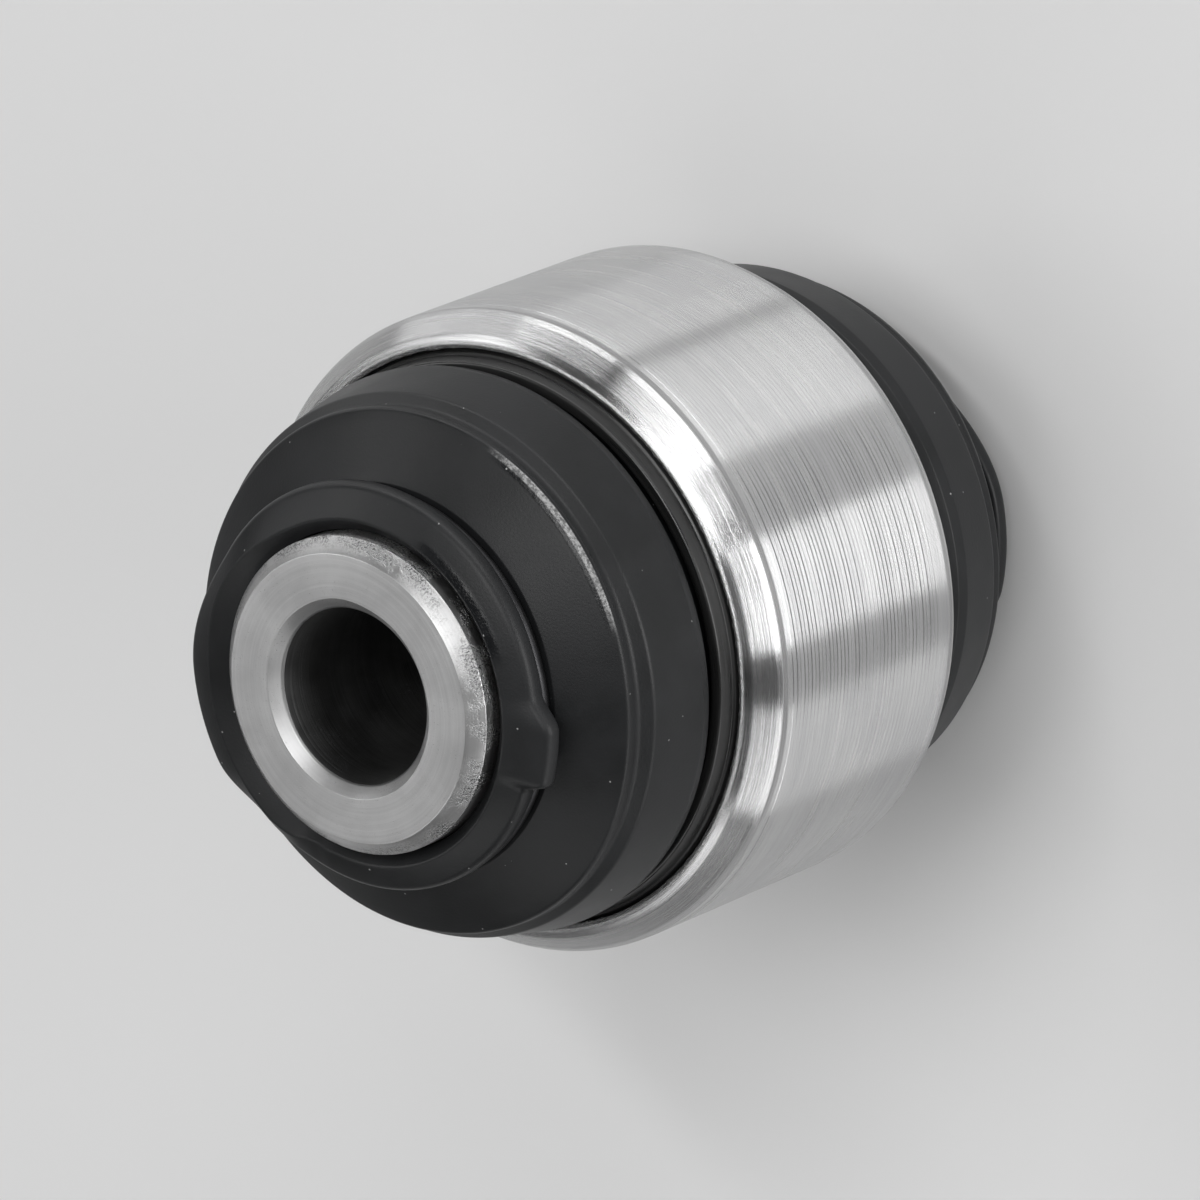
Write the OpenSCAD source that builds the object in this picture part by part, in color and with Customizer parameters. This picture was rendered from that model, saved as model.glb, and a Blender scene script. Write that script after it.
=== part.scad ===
// Ball joint bush for a wheel carrier.
// A steel ball sleeve with a bolt bore turns and leans in two plastic seat shells.
// An outer sleeve, rolled over at both ends, holds the seats and two closing rings.
// Each closing ring clamps the foot of a rubber boot, whose collar grips the ball sleeve.
// The bush stands on the lower end face of the ball sleeve, with its axis along Z.

/* [Ball sleeve] */
// Length between its two end faces
ball_sleeve_length = 56; // [55:0.5:64]
// Diameter of its two cylindrical ends
shank_d = 22; // [19:0.5:22.5]
// Diameter of the bore for the bolt
bolt_bore_d = 12.2; // [10.2:0.1:14.2]
// Chamfer round each end face
shank_chamfer = 1; // [0.4:0.1:1.6]
// Chamfer at each mouth of the bore
bore_chamfer = 0.8; // [0.4:0.1:1.4]
// Radius where the ball runs into its ends
neck_fillet = 2; // [1:0.25:3]

/* [Outer sleeve] */
// Diameter that is pressed into the wheel carrier
outer_sleeve_d = 45; // [45:0.5:60]
// Length between its two rolled ends
outer_sleeve_length = 23.2; // [22.4:0.2:26]
// Wall thickness
outer_sleeve_wall = 1.8; // [1.4:0.1:2.2]
// Length of the rolled stretch at each end
rolled_length = 1.7; // [1.2:0.1:2.4]
// Reach of each rolled lip over its closing ring
lip_reach = 0.55; // [0.35:0.05:0.9]
// Thickness of each lip along the axis
lip_thickness = 0.8; // [0.6:0.1:1.2]
// Width of the flat on each lip's edge
lip_flat = 0.6; // [0.4:0.1:0.9]

/* [Ball seats] */
// Thickness of the plastic round the ball's middle
seat_wall = 4.1; // [3.4:0.1:4.8]
// Running clearance round the ball
seat_clearance = 0.05; // [0.02:0.01:0.1]
// Gap between the two seat shells
seat_split = 0.4; // [0.2:0.1:1]
// Number of grease rings, each of which cuts two grooves into a shell
grease_rings = 3; // [2:1:5]
// Width of a grease groove
grease_groove_w = 1.6; // [1:0.1:2.2]
// Bevel of each shell where it enters the sleeve
seat_bevel = 0.6; // [0.3:0.1:1]

/* [Closing rings] */
// Thickness at the rim of the flange that clamps the boot
ring_flange = 0.6; // [0.5:0.1:1]
// Height of the ring's edge above the outer sleeve
ring_stand = 1; // [0.4:0.1:1.4]
// Distance of that edge inside the rolled lip
ring_inset = 0.7; // [0.4:0.1:1]
// Thickness of its upright wall
ring_wall = 0.9; // [0.7:0.1:1.2]

/* [Boots] */
// Thickness of the rubber
boot_wall = 1.3; // [0.9:0.1:1.5]
// Thickness of the clamped foot
boot_foot = 1.4; // [1:0.1:1.8]
// Width of the clamped foot
boot_foot_w = 5.2; // [4.4:0.1:5.6]
// Overhang of the skirt, the widest place, past the closing ring's edge
boot_skirt_over = 0.3; // [0.1:0.1:0.8]
// Height of the skirt above the outer sleeve
boot_skirt_h = 3; // [2.8:0.1:3.6]
// Set-in of the outer shoulder from the skirt
boot_shoulder_in = 0.8; // [0.4:0.1:1.2]
// Height of the raised inner shoulder above the outer one
boot_step_h = 1.7; // [1:0.1:2]
// Set-in of the inner shoulder from the outer one
boot_step_in = 0.7; // [0.4:0.1:1]
// Rise of the sloping face, from the inner shoulder to the clamp ring's groove
boot_face_rise = 2.4; // [2:0.1:3]
// Height of the sloping underside of the skirt
boot_flare_h = 1.4; // [1.2:0.1:1.8]

/* [Boot collars] */
// Reach of the collar's flange past the clamp ring
flange_over = 0.4; // [0.2:0.1:1.2]
// Thickness of the flange at its edge
collar_edge = 1.3; // [1:0.1:1.6]
// Distance of the collar's lip below the end face
collar_setback = 1.4; // [1.1:0.1:2]
// Fall of the flange from its lip to its edge
collar_fall = 0.9; // [0.4:0.1:1.3]
// Thickness of the rubber round the ball sleeve
collar_wall = 1.6; // [1.3:0.1:2]
// Angle that the narrow lug on the flange spans
lug_angle = 26; // [12:2:40]
// Reach of the narrow lug past the flange
lug_reach = 1.7; // [0.6:0.1:2.2]
// Angle that the broad lug on the far side spans
broad_lug_angle = 54; // [40:2:80]
// Reach of the broad lug past the flange
broad_lug_reach = 1.2; // [0.5:0.1:1.6]
// Angle between the rear boot and one turned end for end about the Y axis
rear_boot_turn = 23; // [-90:1:90]

/* [Clamp rings] */
// Thickness of the spring wire round each collar
clamp_wire_d = 1; // [0.8:0.1:1.2]
// Angle of the gap between the ends of the wire
clamp_gap = 9; // [4:1:20]

/* [Hidden] */
$fn = 96;

// Slack between pieces that are pressed or clamped together
fit_gap = 0.02;
// Slack round the soft boots
soft_gap = 0.1;
// Overlap of a cutting shape past the face it cuts
cut = 1;
// Largest angle between two points of a rounded corner
arc_step = 15;

// Ends of the ball sleeve, measured from the ball's centre as all heights are
shank_r = shank_d / 2;
end_z = ball_sleeve_length / 2;
bore_r = bolt_bore_d / 2;

// Outer sleeve
outer_r = outer_sleeve_d / 2;
sleeve_bore_r = outer_r - outer_sleeve_wall;
sleeve_end_z = outer_sleeve_length / 2;
lip_r = sleeve_bore_r - lip_reach;
lip_root_z = sleeve_end_z - lip_thickness - lip_reach;

// Stack of clamped pieces below each lip
ring_base_z = lip_root_z - fit_gap - ring_flange;
seat_top_z = ring_base_z - boot_foot;
packed_r = sleeve_bore_r - fit_gap;

// The ball fills the seat shells
ball_r = packed_r - seat_wall - seat_clearance;

// Closing ring
ring_edge_r = lip_r - ring_inset;
ring_bore_r = ring_edge_r - ring_wall;
ring_top_z = sleeve_end_z + ring_stand;

// Collar
collar_bore_r = shank_r + soft_gap;
collar_r = collar_bore_r + collar_wall;
flange_r = collar_r + clamp_wire_d + flange_over;
collar_lip_z = end_z - collar_setback;
collar_bevel = 1;
flange_z = collar_lip_z - collar_fall - collar_edge;
clamp_r = clamp_wire_d / 2;
groove_r = collar_r + clamp_wire_d + soft_gap;
groove_z = flange_z - clamp_wire_d - 2 * soft_gap;
lug_root_r = flange_r - collar_edge / 2;
lug_low_z = flange_z + 0.2;

// Boot, whose collar is a little thicker at its foot than the walls
collar_low_z = groove_z - boot_wall - 0.5;
neck_r = ring_bore_r - 3 * soft_gap;
foot_bore_r = packed_r - boot_foot_w;
skirt_r = ring_edge_r + boot_skirt_over;
skirt_z = sleeve_end_z + boot_skirt_h;
skirt_low_z = skirt_z - 0.5;
shoulder_r = skirt_r - boot_shoulder_in;
ridge_r = shoulder_r - boot_step_in;
ridge_z = groove_z - boot_face_rise;
shoulder_z = ridge_z - boot_step_h;
valley_z = shoulder_z + boot_step_h / 2;
face_slope = boot_face_rise / (ridge_r - groove_r);

// Points round a corner at q, between p and s
function corner_arc(p, q, s, radius) =
    let (
        u = (p - q) / norm(p - q),
        v = (s - q) / norm(s - q),
        half = acos(u * v) / 2,
        centre = q + (u + v) / norm(u + v) * radius / sin(half),
        a = q + u * radius / tan(half) - centre,
        b = q + v * radius / tan(half) - centre,
        start = atan2(a[1], a[0]),
        turn = 180 - 2 * half,
        side = sign(a[0] * b[1] - a[1] * b[0]),
        steps = max(2, ceil(turn / arc_step))
    )
    [for (i = [0:steps]) centre + radius * [cos(start + side * turn * i / steps),
                                           sin(start + side * turn * i / steps)]];

// Outline through corners given as radius, height and corner radius
function outline(corners) =
    let (last = len(corners) - 1)
    [for (i = [0:last])
        let (
            p = corners[i == 0 ? last : i - 1],
            q = corners[i],
            s = corners[i == last ? 0 : i + 1]
        )
        each q[2] == 0
            ? [[q[0], q[1]]]
            : corner_arc([p[0], p[1]], [q[0], q[1]], [s[0], s[1]], q[2])];

// A half outline followed by its own reflection in the middle plane
function both_ends(points) = concat(
    points,
    [for (i = [len(points) - 1:-1:0]) [points[i][0], -points[i][1], points[i][2]]]
);

module revolve(corners) {
    rotate_extrude()
        polygon(outline(corners));
}

// What is modelled about the ball's centre stands on its lower end face
module at_ball() {
    translate([0, 0, end_z])
        children();
}

module at_ball_rear() {
    translate([0, 0, end_z])
        rotate([0, 180, 0])
            children();
}

// Steel ball sleeve, turned in one piece
module ball_sleeve() {
    fillet_z = sqrt(pow(ball_r + neck_fillet, 2) - pow(shank_r + neck_fillet, 2));
    tangent_angle = atan2(fillet_z, shank_r + neck_fillet);
    neck_points = [for (i = [0:6])
        let (a = 180 + tangent_angle * i / 6)
        [shank_r + neck_fillet + neck_fillet * cos(a), fillet_z + neck_fillet * sin(a)]];
    half_points = concat([[0, end_z], [shank_r - shank_chamfer, end_z],
                          [shank_r, end_z - shank_chamfer]], neck_points, [[0, neck_points[6][1]]]);
    color("silver")
        at_ball()
            difference() {
                union() {
                    sphere(r = ball_r);
                    for (side = [0, 1])
                        mirror([0, 0, side])
                            rotate_extrude()
                                polygon(half_points);
                }
                cylinder(r = bore_r, h = ball_sleeve_length + 2 * cut, center = true);
                for (side = [0, 1])
                    mirror([0, 0, side])
                        translate([0, 0, end_z - bore_chamfer])
                            cylinder(r1 = bore_r, r2 = bore_r + bore_chamfer + cut, h = bore_chamfer + cut);
            }
}

// Steel sleeve with both ends rolled inward over the closing rings
module outer_sleeve() {
    color("lightgray")
        at_ball()
            revolve(both_ends([
                [sleeve_bore_r, lip_root_z, 0],
                [lip_r, lip_root_z + lip_reach, 0],
                [lip_r, sleeve_end_z, 0.2],
                [lip_r + lip_flat, sleeve_end_z, 0.3],
                [outer_r, sleeve_end_z - rolled_length, 1.2],
            ]));
}

// One shell of the plastic seat, with grease grooves in its spherical face
module ball_seat() {
    color("ivory")
        difference() {
            revolve([
                [0, seat_split / 2, 0],
                [packed_r, seat_split / 2, 0],
                [packed_r, seat_top_z - seat_bevel, 0],
                [packed_r - seat_bevel, seat_top_z, 0],
                [0, seat_top_z, 0],
            ]);
            sphere(r = ball_r + seat_clearance);
            for (i = [0:grease_rings - 1])
                rotate([90, 0, 180 * i / grease_rings])
                    rotate_extrude()
                        translate([ball_r + seat_clearance, 0])
                            circle(d = grease_groove_w);
        }
}

module front_ball_seat() {
    at_ball()
        ball_seat();
}

module rear_ball_seat() {
    at_ball_rear()
        ball_seat();
}

// Black steel ring, held under the rolled lip and clamping the boot's foot
module closing_ring() {
    color("dimgray")
        revolve([
            [ring_bore_r, ring_base_z, 0],
            [packed_r, ring_base_z, 0],
            [packed_r, lip_root_z - fit_gap, 0],
            [lip_r - fit_gap, lip_root_z + lip_reach - fit_gap, 0],
            [ring_edge_r, ring_top_z, 0.25],
            [ring_bore_r, ring_top_z, 0.3],
        ]);
}

module front_closing_ring() {
    at_ball()
        closing_ring();
}

module rear_closing_ring() {
    at_ball_rear()
        closing_ring();
}

// Lug moulded on the rim of a collar's flange, centred on the X axis
module flange_lug(span, reach) {
    rotate([0, 0, -span / 2])
        rotate_extrude(angle = span)
            polygon(outline([
                [lug_root_r, lug_low_z, 0],
                [flange_r + reach, lug_low_z, 0.3],
                [flange_r + reach, flange_z + collar_edge, 0.5],
                [lug_root_r, flange_z + collar_edge, 0],
            ]));
}

// Rubber boot: clamped foot, neck, skirt, stepped shoulder, sloping face and flanged collar
module boot() {
    inner_ridge_z = ridge_z - boot_wall * (sqrt(1 + pow(face_slope, 2)) - face_slope);
    outside = [
        [packed_r - soft_gap, seat_top_z + soft_gap, 0.2],
        [packed_r - soft_gap, ring_base_z - soft_gap, 0.2],
        [neck_r, ring_base_z - soft_gap, 0.3],
        [neck_r, skirt_low_z - boot_flare_h, 0.5],
        [skirt_r - 0.15, skirt_low_z, 0.3],
        [skirt_r, skirt_z + 0.3, 0.5],
        [shoulder_r, shoulder_z, 0.5],
        [ridge_r - 0.05, valley_z - 0.05, 0.3],
        [ridge_r, ridge_z, 0.55],
        [groove_r, groove_z, 0.25],
        [collar_r, groove_z, 0.2],
        [collar_r, flange_z, 0.2],
        [flange_r, flange_z + 0.1, 0.5],
        [flange_r, flange_z + collar_edge, 0.5],
        [collar_bore_r + collar_bevel, collar_lip_z, 0.4],
        [collar_bore_r, collar_lip_z - collar_bevel, 0.2],
    ];
    inside = [
        [collar_bore_r, collar_low_z, 0.4],
        [ridge_r - boot_wall - (collar_low_z - inner_ridge_z) / face_slope, collar_low_z, 0.8],
        [ridge_r - boot_wall, inner_ridge_z, 0.8],
        [skirt_r - boot_wall - 0.1, skirt_z + 0.4, 0.8],
        [neck_r - boot_wall, skirt_low_z - boot_flare_h + soft_gap + 0.5, 0.6],
        [neck_r - boot_wall, ring_base_z + 0.2, 0.8],
        [foot_bore_r, seat_top_z + soft_gap, 0.2],
    ];
    color([0.13, 0.13, 0.14]) {
        revolve(concat(outside, inside));
        flange_lug(lug_angle, lug_reach);
        rotate([0, 0, 180])
            flange_lug(broad_lug_angle, broad_lug_reach);
    }
}

module front_boot() {
    at_ball()
        boot();
}

// The rear boot is the same moulding as the front one
module rear_boot() {
    rotate([0, 0, rear_boot_turn])
        at_ball_rear()
            boot();
}

// Split ring of spring wire in the groove under the collar's flange
module clamp_ring() {
    color("gray")
        translate([0, 0, flange_z - clamp_r - fit_gap])
            rotate([0, 0, clamp_gap / 2])
                rotate_extrude(angle = 360 - clamp_gap)
                    translate([collar_r + clamp_r + fit_gap, 0])
                        circle(r = clamp_r, $fn = 32);
}

module front_clamp_ring() {
    at_ball()
        clamp_ring();
}

module rear_clamp_ring() {
    rotate([0, 0, rear_boot_turn])
        at_ball_rear()
            clamp_ring();
}

ball_sleeve();
outer_sleeve();
front_ball_seat();
rear_ball_seat();
front_closing_ring();
rear_closing_ring();
front_boot();
rear_boot();
front_clamp_ring();
rear_clamp_ring();
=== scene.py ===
"""Looks of a ball joint bush: turned steel, black rubber boots, a pale floor and soft light."""

import math

import bpy
import numpy as np
from mathutils import Matrix, Vector

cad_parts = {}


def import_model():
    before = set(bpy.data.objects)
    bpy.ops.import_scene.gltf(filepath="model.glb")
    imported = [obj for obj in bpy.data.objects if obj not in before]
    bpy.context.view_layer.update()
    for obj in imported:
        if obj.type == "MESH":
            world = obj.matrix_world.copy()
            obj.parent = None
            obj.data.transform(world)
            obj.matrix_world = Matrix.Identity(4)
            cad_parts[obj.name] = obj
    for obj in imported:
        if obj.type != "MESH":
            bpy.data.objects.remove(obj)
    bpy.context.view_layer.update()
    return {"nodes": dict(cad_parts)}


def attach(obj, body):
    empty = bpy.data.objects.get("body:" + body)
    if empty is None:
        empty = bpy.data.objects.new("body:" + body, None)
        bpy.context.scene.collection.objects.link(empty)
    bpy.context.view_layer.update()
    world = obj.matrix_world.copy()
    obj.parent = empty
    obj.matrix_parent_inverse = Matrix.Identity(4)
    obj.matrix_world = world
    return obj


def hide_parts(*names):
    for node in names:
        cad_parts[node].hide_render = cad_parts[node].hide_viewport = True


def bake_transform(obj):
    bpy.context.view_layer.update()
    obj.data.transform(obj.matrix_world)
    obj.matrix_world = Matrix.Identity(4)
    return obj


MM = 0.001
TAU = 2 * math.pi

# Sizes in millimetres. Heights are measured from the centre of the ball.
BALL_Z = 28.0
BALL_R = 16.53
SHANK_R = 11.0
END_Z = 28.0
BORE_R = 6.1
BORE_CHAMFER = 0.8
SHANK_CHAMFER = 1.0
NECK_FILLET = 2.0

SLEEVE_R = 22.5
SLEEVE_BORE_R = 20.7
SLEEVE_END_Z = 11.6
LIP_R = 20.15
LIP_ROOT_Z = 10.25
SHOULDER_Z = 9.9

RING_BORE_R = 18.55
RING_EDGE_R = 19.45
RING_RIM_R = 20.68
RING_BASE_Z = 9.63
RING_TOP_Z = 12.6

FOOT_R = 20.58
FOOT_Z = 8.33
NECK_R = 18.25
SKIRT_R = 19.75
SKIRT_Z = 14.6
SHOULDER_R = 18.95
BOOT_SHOULDER_Z = 19.1
RIDGE_R = 18.25
RIDGE_Z = 20.8
GROOVE_R = 13.8
GROOVE_Z = 23.2
COLLAR_LOW_Z = 21.4
COLLAR_R = 12.7
COLLAR_BORE_R = 11.1
FLANGE_R = 14.1
FLANGE_Z = 24.4
FLANGE_EDGE = 1.3
COLLAR_LIP_R = 12.0
COLLAR_LIP_Z = 26.6
REAR_TURN = 23.0

# Inside of a boot, from its collar down to its foot: the radius, height and fillet of each corner
BOOT_INSIDE = [
    (14.4, COLLAR_LOW_Z, 0.8),
    (16.95, 20.0, 0.8),
    (18.35, 15.0, 0.8),
    (16.95, 13.3, 0.6),
    (16.95, 9.83, 0.8),
    (15.48, FOOT_Z, 0.2),
]

# Columns of each turned form, so many to the full circle
BALL_SLEEVE_COLUMNS = 480
OUTER_SLEEVE_COLUMNS = 720
RING_COLUMNS = 480
BOOT_COLUMNS = 360

# Feed marks of the outer sleeve: their pitch, the slope of the lands between them, their last height on
# either side, and the azimuth at which they are clearest. Their steps are painted darker as shade, most on
# that side
MARK_PITCH = 0.405
MARK_LEAN = 0.26
MARK_END_Z = 8.3
MARK_SIDE = 20.0

# Azimuth of the boots' side with glossier worn edges and a painted highlight on the ridge, and the colour
# of that painted highlight and of dust
WORN_EDGE_AND_HIGHLIGHT_SIDE = 47.0
DUST_AND_HIGHLIGHT_COLOUR = (0.3, 0.3, 0.3)

# The photograph's view: the camera's direction from the ball and its roll in degrees, then its distance
# and its shift to the left and down in metres, and its lens in millimetres
VIEW_AZIMUTH = 30.26
VIEW_ELEVATION = 48.78
VIEW_ROLL = -111.71
VIEW_DISTANCE = 0.8195
VIEW_SHIFT_LEFT = 0.000347
VIEW_SHIFT_DOWN = 0.000216
VIEW_LENS = 360.0

# Half the side of the floor in metres, and the strength of the world's even light
FLOOR_HALF = 6.0
WORLD_STRENGTH = 0.02


def smooth(value, low, high):
    """0 below low, 1 above high, and a smooth rise between them."""
    t = np.clip((value - low) / (high - low), 0, 1)
    return t * t * (3 - 2 * t)


def wave(angle, seed, terms, low=2, high=9):
    """A smooth closed wave round the axis, between about -1 and 1."""
    random = np.random.default_rng(seed)
    total = np.zeros_like(angle)
    for _ in range(terms):
        total += np.sin(angle * random.integers(low, high) + random.uniform(0, TAU))
    return total / math.sqrt(terms * 2)


def outline(corners, spacing, steps):
    """Closed outlines, one for each column, through rounded corners of (radius, height, fillet)."""
    q = corners[:, :, :2]
    u = np.roll(q, 1, axis=1) - q
    v = np.roll(q, -1, axis=1) - q
    u /= np.linalg.norm(u, axis=2, keepdims=True)
    v /= np.linalg.norm(v, axis=2, keepdims=True)
    fillet = corners[:, :, 2:3]
    half = np.arccos(np.clip((u * v).sum(2, keepdims=True), -0.9999, 0.9999)) / 2
    middle = (u + v) / np.linalg.norm(u + v, axis=2, keepdims=True)
    centre = q + middle * fillet / np.sin(half)
    first = q + u * fillet / np.tan(half)
    last = q + v * fillet / np.tan(half)
    turn = math.pi - 2 * half
    points = []
    count = corners.shape[1]
    for i in range(count):
        if corners[0, i, 2] == 0:
            points.append(q[:, i])
        else:
            for step in range(steps + 1):
                t = step / steps
                a = np.sin((1 - t) * turn[:, i]) / np.sin(turn[:, i])
                b = np.sin(t * turn[:, i]) / np.sin(turn[:, i])
                points.append(centre[:, i] + a * (first - centre)[:, i] + b * (last - centre)[:, i])
        gap = first[:, (i + 1) % count] - last[:, i]
        pieces = int(math.ceil(np.linalg.norm(gap, axis=1).mean() / spacing))
        points += [last[:, i] + gap * k / pieces for k in range(1, pieces)]
    return np.stack(points, axis=1)


def lathe(name, profile, rear=False):
    """Turns the profiles, one for each column, into a closed ring. A rear one is turned end for end."""
    columns, count = profile.shape[:2]
    around, end = np.arange(columns) * TAU / columns, 1
    if rear:
        around, end = math.pi + math.radians(REAR_TURN) - around, -1
    r, z = profile[:, :, 0], profile[:, :, 1]
    x, y = r * np.cos(around)[:, None], r * np.sin(around)[:, None]
    vertices = np.stack([x, y, BALL_Z + end * z], axis=2)
    i = np.arange(columns)[:, None]
    j = np.arange(count)[None, :]
    i2, j2 = (i + 1) % columns, (j + 1) % count
    here, there = i * count, i2 * count
    faces = np.stack(np.broadcast_arrays(here + j, here + j2, there + j2, there + j), axis=2).reshape(-1, 4)
    area = (r[0] * np.roll(z[0], -1) - np.roll(r[0], -1) * z[0]).sum()
    if area > 0:
        faces = faces[:, ::-1]
    mesh = bpy.data.meshes.new(name)
    mesh.from_pydata((vertices.reshape(-1, 3) * MM).tolist(), [], faces.tolist())
    mesh.shade_smooth()
    piece = bpy.data.objects.new(name, mesh)
    bpy.context.scene.collection.objects.link(piece)
    return piece


def columns_of(corners, columns):
    """The same corners for every column, and the angle of each column."""
    angle = np.arange(columns) * TAU / columns
    return np.repeat(np.array(corners, float)[None], columns, axis=0), angle


def ball_sleeve_shape():
    """Steel sleeve with its ball, the chamfers a little uneven."""
    neck = SHANK_R + NECK_FILLET
    fillet_z = math.sqrt((BALL_R + NECK_FILLET) ** 2 - neck**2)
    tangent = math.atan2(fillet_z, neck)
    front = [
        (BORE_R, END_Z - BORE_CHAMFER, 0.05),
        (BORE_R + BORE_CHAMFER, END_Z, 0.05),
        (SHANK_R - SHANK_CHAMFER, END_Z, 0.1),
        (SHANK_R, END_Z - SHANK_CHAMFER, 0.12),
    ]
    neck_arc = [math.pi + tangent * i / 8 for i in range(9)]
    front += [(neck + NECK_FILLET * math.cos(a), fillet_z + NECK_FILLET * math.sin(a), 0) for a in neck_arc]
    ball = [tangent * (1 - i / 30) for i in range(1, 60)]
    round_part = [(BALL_R * math.cos(a), BALL_R * math.sin(a), 0) for a in ball]
    rear = [(r, -z, fillet) for r, z, fillet in reversed(front)]
    corners, angle = columns_of(front + round_part + rear, BALL_SLEEVE_COLUMNS)
    # The front end face, at the bore's chamfer and at the end chamfer
    corners[:, 1, 0] += 0.03 * wave(angle, 3, 4)
    corners[:, 2, 0] += 0.05 * wave(angle, 4, 5)
    return lathe("ball_sleeve_steel", outline(corners, 1.0, 4))


def outer_sleeve_shape():
    """Outer sleeve with rolled lips whose inner edges are ragged."""
    front = [
        (SLEEVE_BORE_R, LIP_ROOT_Z, 0.1),
        (LIP_R, LIP_ROOT_Z + SLEEVE_BORE_R - LIP_R, 0.05),
        (LIP_R, SLEEVE_END_Z - 0.2, 0.08),
        (LIP_R + 0.28, SLEEVE_END_Z, 0.15),
        (LIP_R + 0.95, SLEEVE_END_Z - 0.4, 0.6),
        (LIP_R + 2.05, SLEEVE_END_Z - 1.65, 0.4),
        (SLEEVE_R - 0.02, SHOULDER_Z - 0.45, 0.08),
        (SLEEVE_R - 0.02, SHOULDER_Z - 1.35, 0.02),
        (SLEEVE_R, SHOULDER_Z - 1.4, 0.02),
    ]
    rear = [(r, -z, fillet) for r, z, fillet in reversed(front)]
    corners, angle = columns_of(front + rear, OUTER_SLEEVE_COLUMNS)
    for edge, seed in ((2, 11), (15, 12)):  # the lip's inner edge at the front and at the rear
        teeth = np.abs(wave(angle, seed, 24, 30, 170))
        ragged = teeth * (0.4 + 0.6 * smooth(wave(angle, seed + 5, 4), -0.2, 0.6))
        corners[:, edge, 0] -= 0.1 * ragged
        corners[:, edge, 1] += math.copysign(0.05, corners[0, edge, 1]) * ragged
    return lathe("outer_sleeve_steel", outline(corners, 1.2, 4))


def closing_ring_shape(name, rear):
    """Black ring with a rolled top edge and a narrow step on its flank."""
    corners, _ = columns_of(
        [
            (RING_BORE_R, RING_BASE_Z, 0.1),
            (RING_RIM_R, RING_BASE_Z, 0.05),
            (RING_RIM_R, LIP_ROOT_Z - 0.02, 0.05),
            (LIP_R - 0.02, LIP_ROOT_Z + SLEEVE_BORE_R - LIP_R - 0.02, 0.05),
            (LIP_R - 0.3, SLEEVE_END_Z - 0.15, 0.1),
            (RING_EDGE_R + 0.25, SLEEVE_END_Z - 0.05, 0.1),
            (RING_EDGE_R, RING_TOP_Z, 0.22),
            (RING_BORE_R, RING_TOP_Z, 0.28),
        ],
        RING_COLUMNS,
    )
    return lathe(name, outline(corners, 1.0, 5), rear)


def between(angle, rise, fall):
    """1 between two angles in degrees, with smooth ends from rise[0] to rise[1] and fall[0] to fall[1]."""
    middle = (rise[1] + fall[0]) / 2
    away = (np.degrees(angle) - middle + 180) % 360 - 180 + middle
    return smooth(away, *rise) * (1 - smooth(away, *fall))


def flange_reach(angle):
    """How far the flange stands out past its circle: a narrow lug, and a broad one with soft ends."""
    narrow = 1.3 * between(angle, (-16, -12), (2, 12))
    broad = 1.3 * between(angle, (150, 188), (212, 232))
    return narrow + broad + 0.22 * np.cos(angle - math.radians(120))


def lip_shift(angle):
    """How far the collar's mouth has opened on one side, with a small notch."""
    return 1.2 * between(angle, (118, 170), (232, 262)) - 0.25 * between(angle, (244, 249), (253, 258))


def boot_shape(name, rear, seed):
    """Rubber boot: foot, neck, skirt, stepped shoulder, sloping face and flanged collar with its lugs."""
    corners, angle = columns_of(
        [
            (FOOT_R, FOOT_Z, 0.2),
            (FOOT_R, FOOT_Z + 1.2, 0.2),
            (NECK_R, FOOT_Z + 1.2, 0.3),
            (NECK_R, SKIRT_Z - 1.9, 0.5),
            (SKIRT_R - 0.15, SKIRT_Z - 0.5, 0.25),
            (SKIRT_R, SKIRT_Z + 0.3, 0.5),
            (SHOULDER_R, BOOT_SHOULDER_Z, 0.6),
            (RIDGE_R - 0.05, BOOT_SHOULDER_Z + 0.8, 0.6),
            (RIDGE_R, RIDGE_Z, 0.45),
            (GROOVE_R, GROOVE_Z, 0.25),
            (COLLAR_R, GROOVE_Z, 0.2),
            (COLLAR_R, FLANGE_Z, 0.2),
            (FLANGE_R, FLANGE_Z + 0.1, 0.35),
            (FLANGE_R, FLANGE_Z + FLANGE_EDGE, 0.75),
            (COLLAR_LIP_R, COLLAR_LIP_Z, 0.25),
            (COLLAR_BORE_R, COLLAR_LIP_Z - 0.9, 0.2),
            (COLLAR_BORE_R, COLLAR_LOW_Z, 0.4),
            *BOOT_INSIDE,
        ],
        BOOT_COLUMNS,
    )
    skirt, ridge, face, flange, lip = [4, 5, 6], [7, 8], [8, 9, 10], [12, 13], [14]
    corners[:, skirt, 0] += 0.06 * wave(angle, seed, 3, 2, 5)[:, None]
    corners[:, ridge, 0] += 0.08 * wave(angle, seed + 1, 3, 2, 6)[:, None]
    corners[:, face, 1] += 0.06 * wave(angle, seed + 2, 3, 2, 5)[:, None]
    corners[:, flange, 0] += flange_reach(angle)[:, None]
    corners[:, lip, 0] += lip_shift(angle)[:, None]
    return lathe(name, outline(corners, 0.9, 5), rear)


def new_material(name):
    """An empty node material: its tree and its surface shader."""
    material = bpy.data.materials.new(name)
    material.use_nodes = True
    tree = material.node_tree
    tree.nodes.clear()
    shader = tree.nodes.new("ShaderNodeBsdfPrincipled")
    output = tree.nodes.new("ShaderNodeOutputMaterial")
    tree.links.new(shader.outputs["BSDF"], output.inputs["Surface"])
    return material, tree, shader


def add(tree, kind, inputs, output=0, **settings):
    """A node with its inputs set or linked. Returns one of its outputs."""
    node = tree.nodes.new(kind)
    for key, value in settings.items():
        setattr(node, key, value)
    for key, value in inputs.items():
        if isinstance(value, bpy.types.NodeSocket):
            tree.links.new(value, node.inputs[key])
        else:
            node.inputs[key].default_value = value
    return node.outputs[output]


def calc(tree, operation, a, b=0.0):
    return add(tree, "ShaderNodeMath", {0: a, 1: b}, operation=operation)


def times(tree, a, b):
    return calc(tree, "MULTIPLY", a, b)


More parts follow.
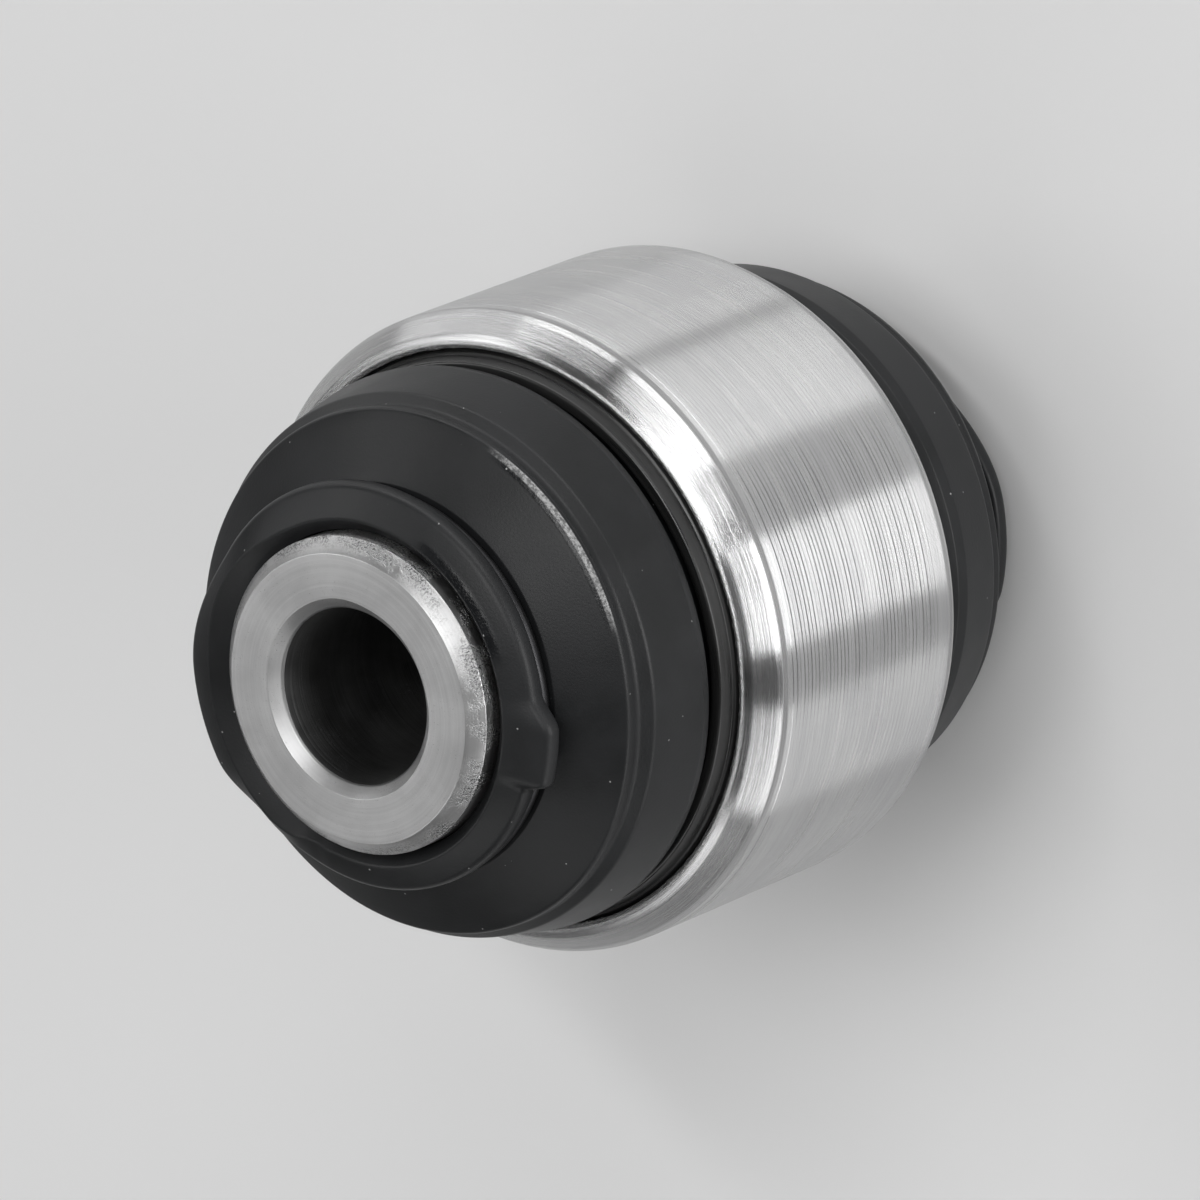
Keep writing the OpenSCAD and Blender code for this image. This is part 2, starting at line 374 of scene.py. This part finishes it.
def spread(tree, value, low, high, to_low, to_high):
    """Maps low..high to to_low..to_high, smoothly and clamped."""
    inputs = {"Value": value, "From Min": low, "From Max": high, "To Min": to_low, "To Max": to_high}
    return add(tree, "ShaderNodeMapRange", inputs, interpolation_type="SMOOTHSTEP")


def noise(tree, vector, scale, detail=2.0, rough=0.5):
    inputs = {"Vector": vector, "Scale": scale, "Detail": detail, "Roughness": rough}
    return add(tree, "ShaderNodeTexNoise", inputs)


def grey_mix(tree, factor, dark, light):
    """Colour between two colours, given as red, green and blue."""
    inputs = {"Factor": factor, "A": (*dark, 1), "B": (*light, 1)}
    return add(tree, "ShaderNodeMix", inputs, "Result", data_type="RGBA")


def grey_shift(tree, factor, colour, other):
    """A colour that goes over to another one, given as red, green and blue."""
    inputs = {"Factor": factor, "A": colour, "B": (*other, 1)}
    return add(tree, "ShaderNodeMix", inputs, "Result", data_type="RGBA")


def tint(tree, colour, shade):
    """One colour multiplied by another."""
    inputs = {"Factor": 1.0, "A": colour, "B": shade}
    return add(tree, "ShaderNodeMix", inputs, "Result", data_type="RGBA", blend_type="MULTIPLY")


def bump(tree, height, depth, normal=None):
    """A bump of the given depth in millimetres."""
    inputs = {"Height": height, "Distance": depth * MM, "Strength": 1.0}
    if normal is not None:
        inputs["Normal"] = normal
    return add(tree, "ShaderNodeBump", inputs)


def position(tree):
    """Object coordinates in millimetres, as one vector and as x, y, height and radius."""
    point = add(tree, "ShaderNodeTexCoord", {}, "Object")
    point = add(tree, "ShaderNodeVectorMath", {0: point, "Scale": 1 / MM}, operation="SCALE")
    split = tree.nodes.new("ShaderNodeSeparateXYZ")
    tree.links.new(point, split.inputs[0])
    x, y, z = split.outputs
    radius = calc(tree, "SQRT", calc(tree, "ADD", times(tree, x, x), times(tree, y, y)))
    return point, x, y, calc(tree, "SUBTRACT", z, BALL_Z), radius


def side_mask(tree, x, y, radius, azimuth, low, high):
    """1 on the side that faces an azimuth, fading out between two cosines of the angle from it."""
    side = direction(azimuth, 0)
    facing = calc(tree, "ADD", times(tree, x, side.x), times(tree, y, side.y))
    return spread(tree, calc(tree, "DIVIDE", facing, radius), low, high, 0.0, 1.0)


def turned(tree, x, y, height, radius, along, across):
    """A vector that changes slowly round the axis and fast across the tool's path."""
    path = calc(tree, "SUBTRACT", height, times(tree, radius, 1.6))
    inputs = {0: times(tree, x, along), 1: times(tree, y, along), 2: times(tree, path, across)}
    return add(tree, "ShaderNodeCombineXYZ", inputs)


def feed_marks(tree, height, pitch, lean, clear, end):
    """Marks of a turning tool: lands that lean to the front, and a step between two of them.

    The steps are wide where clear is 1 and hairlines where it is 0. Past the height end on either side the
    last land goes on without a step. Returns the marks' height in pitches, and their share of the step.
    """
    place = calc(tree, "DIVIDE", height, pitch)
    last = math.floor(end / pitch)
    mark = calc(tree, "MINIMUM", calc(tree, "MAXIMUM", calc(tree, "FLOOR", place), -last), last - 1)
    along = calc(tree, "SUBTRACT", place, mark)
    chance = add(tree, "ShaderNodeTexWhiteNoise", {"W": mark}, noise_dimensions="1D")
    inside = calc(tree, "LESS_THAN", calc(tree, "ABSOLUTE", calc(tree, "SUBTRACT", along, 0.5)), 0.5)
    width = spread(tree, times(tree, clear, spread(tree, chance, 0, 1, 0.3, 1.0)), 0, 1, 0.04, 0.26)
    start = calc(tree, "SUBTRACT", 1.0, width)
    rise = times(tree, calc(tree, "MAXIMUM", calc(tree, "SUBTRACT", along, start), 0.0), inside)
    slope = calc(tree, "SUBTRACT", calc(tree, "DIVIDE", rise, width), along)
    step = times(tree, calc(tree, "GREATER_THAN", along, start), inside)
    return times(tree, slope, lean), step


def sleeve_steel():
    """Bright turned steel: feed marks round the cylinder with painted shade in their steps, smoother rolled
    shoulders, rough lip edges.
    """
    material, tree, shader = new_material("sleeve_steel")
    point, x, y, height, radius = position(tree)
    away = calc(tree, "ABSOLUTE", height)
    lined = spread(tree, away, SHOULDER_Z - 0.9, SHOULDER_Z - 0.3, 1.0, 0.0)
    streaks = noise(tree, turned(tree, x, y, height, radius, 0.05, 1.6), 1.0, 4.0, 0.65)
    fine = noise(tree, turned(tree, x, y, height, radius, 0.12, 5.0), 1.0, 3.0, 0.6)
    clouds = noise(tree, point, 0.12, 3.0)
    clear = side_mask(tree, x, y, radius, MARK_SIDE, 0.88, 0.985)
    marks, step = feed_marks(tree, height, MARK_PITCH, MARK_LEAN, clear, MARK_END_Z)
    tone = calc(tree, "ADD", times(tree, fine, 0.5), times(tree, clouds, 0.5))
    tone = spread(tree, tone, 0.35, 0.65, 0.0, 1.0)
    colour = grey_mix(tree, tone, (0.51, 0.51, 0.515), (0.58, 0.58, 0.58))
    # Painted shade: the steps between the feed marks are painted darker, widest on the side at MARK_SIDE
    colour = tint(tree, colour, grey_mix(tree, step, (1, 1, 1), (0.5, 0.5, 0.5)))
    tree.links.new(colour, shader.inputs["Base Color"])
    tree.links.new(spread(tree, streaks, 0.3, 0.7, 0.24, 0.28), shader.inputs["Roughness"])
    normal = bump(tree, times(tree, marks, lined), MARK_PITCH)
    normal = bump(tree, streaks, 0.006, normal)
    fleck = noise(tree, point, 5.0, 4.0, 0.7)
    edge = spread(tree, radius, LIP_R + 0.2, LIP_R + 0.55, 1.0, 0.0)
    normal = bump(tree, times(tree, fleck, edge), 0.12, normal)
    rolled = spread(tree, away, SHOULDER_Z - 0.6, SHOULDER_Z - 0.4, 0.0, 1.0)
    normal = bump(tree, times(tree, rolled, fine), 0.02, normal)
    tree.links.new(normal, shader.inputs["Normal"])
    tangent = add(tree, "ShaderNodeTangent", {}, direction_type="RADIAL", axis="Z")
    tree.links.new(tangent, shader.inputs["Tangent"])
    shader.inputs["Metallic"].default_value = 1.0
    shader.inputs["Anisotropic"].default_value = 1.0
    shader.inputs["Anisotropic Rotation"].default_value = 0.25
    return material


def turned_steel():
    """Matt turned steel of the ball sleeve: faint arcs on its faces, pitted chamfers, a darker colour in
    the bore.
    """
    material, tree, shader = new_material("turned_steel")
    point, x, y, height, radius = position(tree)
    marks = noise(tree, turned(tree, x, y, height, radius, 0.06, 4.0), 1.0, 3.0, 0.6)
    clouds = noise(tree, point, 0.22, 4.0, 0.6)
    tone = calc(tree, "ADD", times(tree, marks, 0.4), times(tree, clouds, 0.6))
    tone = spread(tree, tone, 0.32, 0.68, 0.0, 1.0)
    colour = grey_mix(tree, tone, (0.47, 0.47, 0.472), (0.6, 0.6, 0.6))
    face_r = SHANK_R - SHANK_CHAMFER
    chamfered = spread(tree, radius, face_r - 0.1, face_r + 0.05, 0.0, 1.0)
    grit = noise(tree, point, 7.0, 3.0, 0.7)
    patch = spread(tree, noise(tree, point, 0.5, 2.0), 0.35, 0.6, 0.0, 1.0)
    rim = times(tree, spread(tree, radius, face_r + 0.1, face_r + 0.9, 0.15, 1.0), chamfered)
    pit = times(tree, spread(tree, grit, 0.46, 0.58, 0.0, 1.0), times(tree, rim, patch))
    speck = times(tree, spread(tree, grit, 0.6, 0.68, 0.0, 0.6), patch)
    pit = calc(tree, "MAXIMUM", pit, speck)
    inner = spread(tree, radius, BORE_R + 0.05, BORE_R + 0.2, 1.0, 0.0)
    colour = tint(tree, colour, grey_mix(tree, pit, (1, 1, 1), (0.25, 0.25, 0.25)))
    # The bore's colour is darker
    colour = tint(tree, colour, grey_mix(tree, inner, (1, 1, 1), (0.45, 0.45, 0.45)))
    tree.links.new(colour, shader.inputs["Base Color"])
    rough = calc(tree, "SUBTRACT", spread(tree, clouds, 0.3, 0.7, 0.42, 0.5), times(tree, chamfered, 0.1))
    tree.links.new(rough, shader.inputs["Roughness"])
    depth = spread(tree, inner, 0, 1, 0.15, 1.5)
    relief = calc(tree, "SUBTRACT", times(tree, marks, depth), times(tree, pit, 0.8))
    tree.links.new(bump(tree, relief, 0.025), shader.inputs["Normal"])
    shader.inputs["Metallic"].default_value = 1.0
    return material


def black_steel():
    """Satin black coat of the closing rings, with faint marks round them."""
    material, tree, shader = new_material("black_steel")
    point, x, y, height, radius = position(tree)
    marks = noise(tree, turned(tree, x, y, height, radius, 0.1, 2.0), 1.0, 3.0, 0.6)
    tone = spread(tree, marks, 0.3, 0.7, 0.0, 1.0)
    colour = grey_mix(tree, tone, (0.008, 0.008, 0.008), (0.016, 0.016, 0.016))
    tree.links.new(colour, shader.inputs["Base Color"])
    tree.links.new(spread(tree, marks, 0.3, 0.7, 0.24, 0.4), shader.inputs["Roughness"])
    tree.links.new(bump(tree, noise(tree, point, 2.0, 3.0), 0.01), shader.inputs["Normal"])
    return material


def ridge_mask(tree, radius, inward, height, below):
    """1 round the boot's ridge, rising between two distances inward and two below its corner."""
    outer = spread(tree, radius, RIDGE_R - inward[0], RIDGE_R - inward[1], 0.0, 1.0)
    upper = spread(tree, height, RIDGE_Z - below[0], RIDGE_Z - below[1], 0.0, 1.0)
    return times(tree, outer, upper)


def boot_rubber():
    """Satin black moulded rubber: faint clouds, glossier worn edges on one side, a painted highlight in a
    lighter colour on the ridge on that lit side, a few specks of dust.
    """
    material, tree, shader = new_material("boot_rubber")
    point, x, y, height, radius = position(tree)
    away = calc(tree, "ABSOLUTE", height)
    clouds = noise(tree, point, 0.16, 4.0, 0.55)
    rub = noise(tree, point, 1.4, 5.0, 0.65)
    worn_and_lit_side = side_mask(tree, x, y, radius, WORN_EDGE_AND_HIGHLIGHT_SIDE, 0.9, 0.96)
    ridge = ridge_mask(tree, radius, (0.7, 0.5), away, (0.55, 0.35))
    inside = spread(tree, radius, COLLAR_LIP_R + 0.5, COLLAR_LIP_R + 0.9, 1.0, 0.0)
    mouth = times(tree, inside, spread(tree, away, COLLAR_LIP_Z - 0.6, COLLAR_LIP_Z - 0.4, 0.0, 1.0))
    edge = times(tree, calc(tree, "MAXIMUM", ridge, mouth), worn_and_lit_side)
    tone = spread(tree, clouds, 0.3, 0.7, 0.0, 1.0)
    colour = grey_mix(tree, tone, (0.0065, 0.007, 0.0075), (0.011, 0.0115, 0.0125))
    cells = add(tree, "ShaderNodeTexVoronoi", {"Vector": point, "Scale": 0.75}, "Distance")
    speck = times(tree, spread(tree, cells, 0.035, 0.06, 1.0, 0.0), spread(tree, rub, 0.5, 0.56, 0.0, 1.0))
    colour = grey_shift(tree, speck, colour, DUST_AND_HIGHLIGHT_COLOUR)
    # Painted highlight: a lighter colour on the ridge, on the lit side where a lamp's highlight falls
    painted_ridge_highlight = times(tree, ridge_mask(tree, radius, (0.39, 0.29), height, (0.14, 0.06)), worn_and_lit_side)
    painted_ridge_highlight = times(tree, painted_ridge_highlight, spread(tree, noise(tree, point, 4.0, 4.0, 0.7), 0.4, 0.6, 0.3, 1.0))
    colour = grey_shift(tree, painted_ridge_highlight, colour, DUST_AND_HIGHLIGHT_COLOUR)
    tree.links.new(colour, shader.inputs["Base Color"])
    gloss = times(tree, edge, spread(tree, rub, 0.35, 0.65, 0.31, 0.24))
    rough = calc(tree, "SUBTRACT", spread(tree, clouds, 0.3, 0.7, 0.4, 0.48), gloss)
    tree.links.new(rough, shader.inputs["Roughness"])
    grain = bump(tree, noise(tree, point, 6.0, 2.0), 0.01)
    tree.links.new(bump(tree, times(tree, rub, edge), 0.03, grain), shader.inputs["Normal"])
    shader.inputs["Specular IOR Level"].default_value = 0.32
    return material


def seat_plastic():
    """Off-white moulded plastic of the ball seats."""
    material, tree, shader = new_material("seat_plastic")
    point = position(tree)[0]
    clouds = noise(tree, point, 0.2, 3.0)
    tone = spread(tree, clouds, 0.3, 0.7, 0.0, 1.0)
    colour = grey_mix(tree, tone, (0.8, 0.78, 0.7), (0.88, 0.86, 0.8))
    tree.links.new(colour, shader.inputs["Base Color"])
    tree.links.new(bump(tree, noise(tree, point, 4.0), 0.01), shader.inputs["Normal"])
    shader.inputs["Roughness"].default_value = 0.5
    return material


def spring_wire():
    """Dark drawn wire of the clamp rings."""
    material, tree, shader = new_material("spring_wire")
    _, x, y, height, radius = position(tree)
    marks = noise(tree, turned(tree, x, y, height, radius, 0.3, 6.0), 1.0, 3.0)
    tone = spread(tree, marks, 0.3, 0.7, 0.0, 1.0)
    colour = grey_mix(tree, tone, (0.03, 0.03, 0.032), (0.06, 0.06, 0.062))
    tree.links.new(colour, shader.inputs["Base Color"])
    tree.links.new(bump(tree, marks, 0.01), shader.inputs["Normal"])
    shader.inputs["Metallic"].default_value = 1.0
    shader.inputs["Roughness"].default_value = 0.45
    return material


def paint(piece, material):
    piece.data.materials.clear()
    piece.data.materials.append(material)


def direction(azimuth, elevation):
    """Unit vector towards an azimuth from +X and an elevation, in degrees."""
    a, e = math.radians(azimuth), math.radians(elevation)
    return Vector((math.cos(a) * math.cos(e), math.sin(a) * math.cos(e), math.sin(e)))


def place_camera():
    """The photograph's view of the bush, which stands on its rear end face."""
    back = direction(VIEW_AZIMUTH, VIEW_ELEVATION)
    level = Vector((0, 0, 1)).cross(back).normalized()
    above = back.cross(level)
    roll = math.radians(VIEW_ROLL)
    right = level * math.cos(roll) + above * math.sin(roll)
    up = above * math.cos(roll) - level * math.sin(roll)
    data = bpy.data.cameras.new("camera")
    data.lens = VIEW_LENS
    data.sensor_width = 36.0
    data.clip_end = 20.0
    camera = bpy.data.objects.new("camera", data)
    bpy.context.scene.collection.objects.link(camera)
    place = Vector((0, 0, BALL_Z * MM)) + back * VIEW_DISTANCE
    place -= right * VIEW_SHIFT_LEFT + up * VIEW_SHIFT_DOWN
    turned_axes = Matrix((right, up, back)).transposed()
    camera.matrix_world = Matrix.Translation(place) @ turned_axes.to_4x4()
    bpy.context.scene.camera = camera


def softbox(name, azimuth, elevation, wide, high, radiance, distance=1.2):
    """Soft lamp whose sides span the angles wide and high. Its azimuth is counted from the camera's."""
    data = bpy.data.lights.new(name, "AREA")
    data.shape = "RECTANGLE"
    data.size = 2 * distance * math.tan(math.radians(wide) / 2)
    data.size_y = 2 * distance * math.tan(math.radians(high) / 2)
    data.energy = radiance * math.pi * data.size * data.size_y
    lamp = bpy.data.objects.new(name, data)
    bpy.context.scene.collection.objects.link(lamp)
    towards = direction(VIEW_AZIMUTH + azimuth, elevation)
    lamp.location = Vector((0, 0, BALL_Z * MM)) + towards * distance
    lamp.rotation_mode = "QUATERNION"
    lamp.rotation_quaternion = towards.to_track_quat("Z", "Y")
    lamp.visible_camera = False


def light_studio():
    """Soft lamps round the bush and a dim even world."""
    softbox("low", -17, 9.5, 31.5, 17, 9.3)
    softbox("key", 27, 42, 26, 14, 1.8)
    softbox("key_high", 31, 57, 40, 4, 18.0)
    softbox("crown", 42, 72, 22, 14, 5.0)
    softbox("right_near", 42, 10, 36, 18, 4.8)
    softbox("right_far", 80, 2.2, 30, 6, 10.0)
    softbox("right_rear", 112, 2.2, 34, 6, 4.0)
    softbox("left", -66, 9.5, 32, 17, 3.8)
    softbox("key_left", -45, 36, 50, 14, 0.3)
    softbox("back_right", 132, 42, 42, 16, 3.6)
    softbox("back_left", -122, 42, 42, 16, 2.3)
    softbox("back", 180, 47, 50, 34, 0.55)
    world = bpy.data.worlds.new("world")
    world.use_nodes = True
    world.node_tree.nodes["Background"].inputs["Color"].default_value = (1, 1, 1, 1)
    world.node_tree.nodes["Background"].inputs["Strength"].default_value = WORLD_STRENGTH
    bpy.context.scene.world = world


def lay_floor():
    """Plain pale floor under the bush."""
    mesh = bpy.data.meshes.new("floor")
    corners = [(x * FLOOR_HALF, y * FLOOR_HALF, 0) for x, y in ((-1, -1), (1, -1), (1, 1), (-1, 1))]
    mesh.from_pydata(corners, [], [(0, 1, 2, 3)])
    floor = bpy.data.objects.new("floor", mesh)
    bpy.context.scene.collection.objects.link(floor)
    material, tree, shader = new_material("floor")
    cloud = noise(tree, position(tree)[0], 0.002)
    colour = grey_mix(tree, cloud, (0.74, 0.74, 0.74), (0.75, 0.75, 0.75))
    tree.links.new(colour, shader.inputs["Base Color"])
    shader.inputs["Roughness"].default_value = 0.9
    shader.inputs["Specular IOR Level"].default_value = 0.1
    paint(floor, material)


def dress(piece, material, nodes, body=None):
    """Gives a new piece its material, and has it stand for the CAD nodes and ride on their body."""
    paint(piece, material)
    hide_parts(*nodes)
    if body:
        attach(piece, body)


def build(frame):
    """All pieces of the bush: six that stand for CAD nodes, and the paint of the other four."""
    rubber, black = boot_rubber(), black_steel()
    dress(ball_sleeve_shape(), turned_steel(), ["ball_sleeve"], "inner")
    dress(outer_sleeve_shape(), sleeve_steel(), ["outer_sleeve"], "housing")
    for side, rear in (("front", False), ("rear", True)):
        ring = closing_ring_shape(f"{side}_closing_ring_steel", rear)
        dress(ring, black, [f"{side}_closing_ring"], "housing")
        boot = boot_shape(f"{side}_boot_rubber", rear, 40 if rear else 20)
        dress(boot, rubber, [f"{side}_boot"])
        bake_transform(boot)
    plastic, wire = seat_plastic(), spring_wire()
    for side in ("front", "rear"):
        paint_node(frame, f"{side}_ball_seat", plastic)
        paint_node(frame, f"{side}_clamp_ring", wire)


def paint_node(frame, node, material):
    """Gives a CAD node its material, on the object, so that its mesh stays as packed."""
    piece = frame["nodes"][node]
    if not piece.material_slots:
        piece.data.materials.append(material)
    for slot in piece.material_slots:
        slot.link = "OBJECT"
        slot.material = material


def main():
    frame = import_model()
    build(frame)
    lay_floor()
    light_studio()
    place_camera()
    bpy.context.scene.view_settings.view_transform = "Standard"


main()
